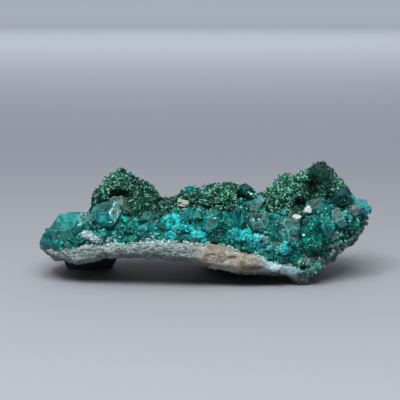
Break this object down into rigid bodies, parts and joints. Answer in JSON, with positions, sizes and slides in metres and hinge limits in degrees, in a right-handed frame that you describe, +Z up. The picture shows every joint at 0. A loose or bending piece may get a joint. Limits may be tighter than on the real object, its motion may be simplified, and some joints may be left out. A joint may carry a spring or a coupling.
{
  "type": "dioptase mineral specimen",
  "caption": "Long slab of pale rock lying on its own feet, covered with emerald dioptase crystals, dark green malachite mounds and small white calcite crystals; a natural specimen for display.",
  "frame": {"origin": "centre of the specimen's outer box, at the level of the three feet it rests on", "axes": "+Z up, +X along the slab towards its higher end, -Y towards the side that its crystals face"},
  "size_m": [0.0946, 0.038, 0.0327],
  "materials": {
    "matrix_rock": "rough, pale grey-green to tan, granular",
    "dioptase": "glassy, translucent emerald to blue-green crystal",
    "malachite": "dark green, sparkling mass of fine crystals",
    "calcite": "white, satin to glassy"
  },
  "bodies": {
    "root": {"matrix": "matrix_rock", "dioptase_druse": "dioptase", "malachite_mound_left": "malachite", "malachite_ridge": "malachite", "malachite_mound_right": "malachite", "calcite_crystal_left": "calcite", "calcite_crystal_centre": "calcite", "calcite_crystal_right": "calcite", "calcite_crystal_upper": "calcite"}
  },
  "joints": []
}
